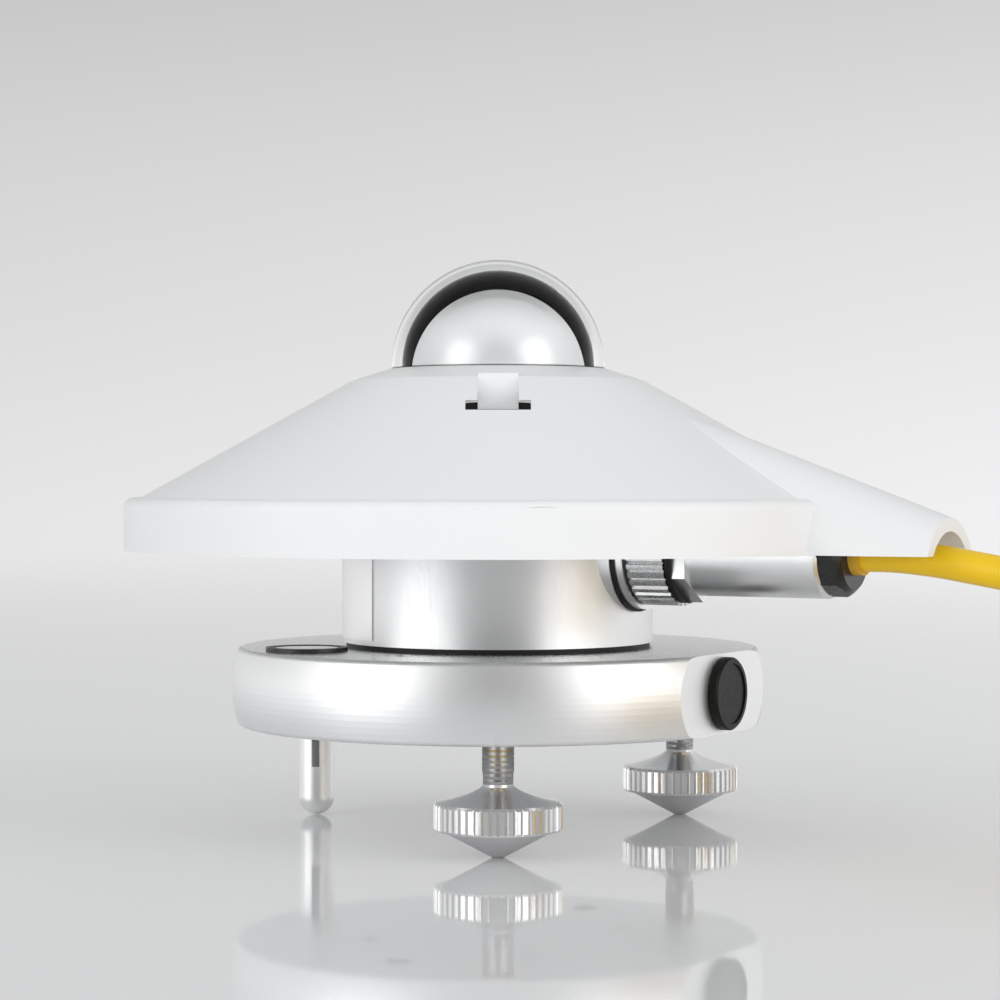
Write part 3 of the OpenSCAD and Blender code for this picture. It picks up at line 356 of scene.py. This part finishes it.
# centre line in millimetres: from the bush down to the coil, and from the coil to the sleeve
route = [
    (79.5, 0, 34.8), (84.5, 0, 34.8), (90, 0, 34.4), (95, 0, 33.8), (100, 0, 33),
    (106, 0, 32),
    (115.4, -1, 30.4), (124.3, -3.9, 28.1), (132.5, -8.6, 25.2), (139.4, -14.9, 22),
    (145, -22.5, 18.5), (148, -28.9, 15.7), (151, -35.3, 13.1), (156.6, -42.9, 9.8),
    (163.5, -49.2, 7), (171.7, -53.9, 4.7), (180.6, -56.8, 3.2), (190, -57.8, 2.7),
    (196, -57.8, 2.7),
]
tail = [(208.4, -57.8, -18), (214, -57.8, -18), (220, -57.8, -18), (226, -57.8, -18)]
coil_r, pitch, turns, layers, coil_x, low_z = 57.8, 6.9, 4.5, 4, 202.2, -18
steps = 24                           # points a turn


def coil_point(n):
    """Centre line n turns into the coil, whose layers are wound inwards and outwards in turn."""
    u = n % (2 * turns)
    r = coil_r - pitch * min(u, 2 * turns - u)
    # the cable sinks to the next layer in the half turn around each change
    k = math.floor(n / turns + 0.5)
    v = (n - k * turns) * 2
    layer = 0 if k == 0 else layers - 1 if k == layers else k - 0.5 + min(max(v, -0.5), 0.5)
    a = math.radians(360 * n - 90)
    return coil_x + r * math.cos(a), r * math.sin(a), low_z + pitch * (layers - 1 - layer)


coil = [coil_point(i / steps) for i in range(int(turns * layers * steps) + 1)]
points = [Vector(p) / 1000 for p in route + coil + tail]
curve = bpy.data.curves.new("cable_run", "CURVE")
curve.dimensions = "3D"
curve.bevel_depth = cable_r
curve.bevel_resolution = 6
curve.resolution_u = 4
curve.use_fill_caps = True
line = curve.splines.new("BEZIER")
line.bezier_points.add(len(points) - 1)
for p, place in zip(line.bezier_points, points):
    p.co = place
    p.handle_left_type = p.handle_right_type = "AUTO"
cable = bpy.data.objects.new("cable_run", curve)
scene.collection.objects.link(cable)
curve.materials.append(yellow)
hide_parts("cable", "cable_coil", "cable_tail")
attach(cable, "plug")

# --- floor -----------------------------------------------------------------

floor_r = 3.0
floor_fade = (0.35, 2.2)             # it thins out between these distances from the middle
bpy.ops.mesh.primitive_circle_add(
    vertices=128, radius=floor_r, fill_type="NGON", location=(0, 0, ground_z - 0.0001),
)
floor = bpy.context.object
floor.name = "floor"
floor_look, t, b = new_material("floor")
fill(t, b, {"Base Color": (0.93, 0.935, 0.94, 1), "Roughness": 0.04, "Specular IOR Level": 0.5})
distance = add(t, "VectorMath", {0: point(t)}, operation="LENGTH").outputs["Value"]
fade = remap(t, distance, floor_fade, (1, 0), "SMOOTHSTEP")
show(t, mix_shaders(t, fade, add(t, "BsdfTransparent"), b))
floor.data.materials.append(floor_look)

# --- the room around: seen by camera, gloss and glass, with a plain light for the rest ---

world = bpy.data.worlds.new("room")
scene.world = world
world.use_nodes = True
t = world.node_tree
t.nodes.clear()
toward = point(t, "Generated")
# pale backdrop, a little darker high up and low down
grey_stops = [
    (0.0, 0.65), (0.26, 0.65), (0.34, 0.69), (0.44, 0.745), (0.50, 0.725),
    (0.60, 0.67), (0.72, 0.62), (0.84, 0.53), (1.0, 0.45),
]
height = remap(t, axis(t, toward, "Z"), (-0.25, 0.25), (0, 1))
backdrop = ramp(t, height, [(position, (v, v, v)) for position, v in grey_stops], "B_SPLINE")
# brighter to the right
lean = remap(t, along(t, toward, right), (-0.2, 0.2), (0.99, 1.12))
# darker behind the camera, with brighter walls at both sides
behind = along(t, toward, -away)
dark = remap(t, behind, (0.55, 1.0), (1.08, 0.36), "SMOOTHSTEP")
walls = remap(t, maths(t, "MULTIPLY", behind, behind), (0, 1), (1.55, 1))
light = maths(t, "MULTIPLY", maths(t, "MULTIPLY", dark, lean), walls)
mirrored = add(t, "Background", {"Color": mix_colors(t, 1, backdrop, light, "MULTIPLY")})
lit = add(t, "Background", {"Color": (0.97, 0.985, 1, 1), "Strength": 0.50})
rays = add(t, "LightPath").outputs
seen = maths(t, "MAXIMUM", rays["Is Camera Ray"], rays["Is Glossy Ray"])
seen = maths(t, "MAXIMUM", seen, rays["Is Transmission Ray"])
around = mix_shaders(t, seen, lit, mirrored)
# the camera itself sees a backdrop as pale in every direction
even = maths(t, "MULTIPLY", lean, 1.08)
straight = add(t, "Background", {"Color": mix_colors(t, 1, backdrop, even, "MULTIPLY")})
whole = mix_shaders(t, rays["Is Camera Ray"], around, straight)
add(t, "OutputWorld", {"Surface": whole.outputs[0]})

# --- lamps -----------------------------------------------------------------

aim = Vector((0, 0, 0.03))           # what every lamp is turned to


def softbox(name, place, size_x, size_y, power, glossy=True):
    """Area lamp that the camera doesn't see, mirrored in gloss or not."""
    data = bpy.data.lights.new(name, "AREA")
    data.shape = "RECTANGLE"
    data.size = size_x
    data.size_y = size_y
    data.energy = power
    o = bpy.data.objects.new(name, data)
    scene.collection.objects.link(o)
    o.visible_camera = False
    o.visible_glossy = glossy
    o.location = place
    o.rotation_euler = (aim - place).to_track_quat("-Z", "Y").to_euler()


softbox("left_box", -0.85 * right - 0.62 * away + Vector((0, 0, 0.22)), 0.8, 1.3, 4.7)
softbox("right_box", 0.85 * right - 0.62 * away + Vector((0, 0, 0.22)), 0.8, 1.3, 5.2)
softbox("top_box", Vector((0, 0, 1.1)) - 0.1 * away, 0.9, 0.9, 0.5, glossy=False)
softbox("front_box", -1.3 * away + Vector((0, 0, 0.06)), 1.4, 0.5, 5.4, glossy=False)

# --- camera: level, 560 mm from the axis -----------------------------------

cam = bpy.data.cameras.new("camera")
cam.lens = 99.8
cam.sensor_width = 36
cam.shift_x = 0.002
cam.shift_y = -0.025
camera = bpy.data.objects.new("camera", cam)
scene.collection.objects.link(camera)
camera.location = (0.280, -0.485, 0.0499)
camera.rotation_euler = away.to_track_quat("-Z", "Y").to_euler()
scene.camera = camera
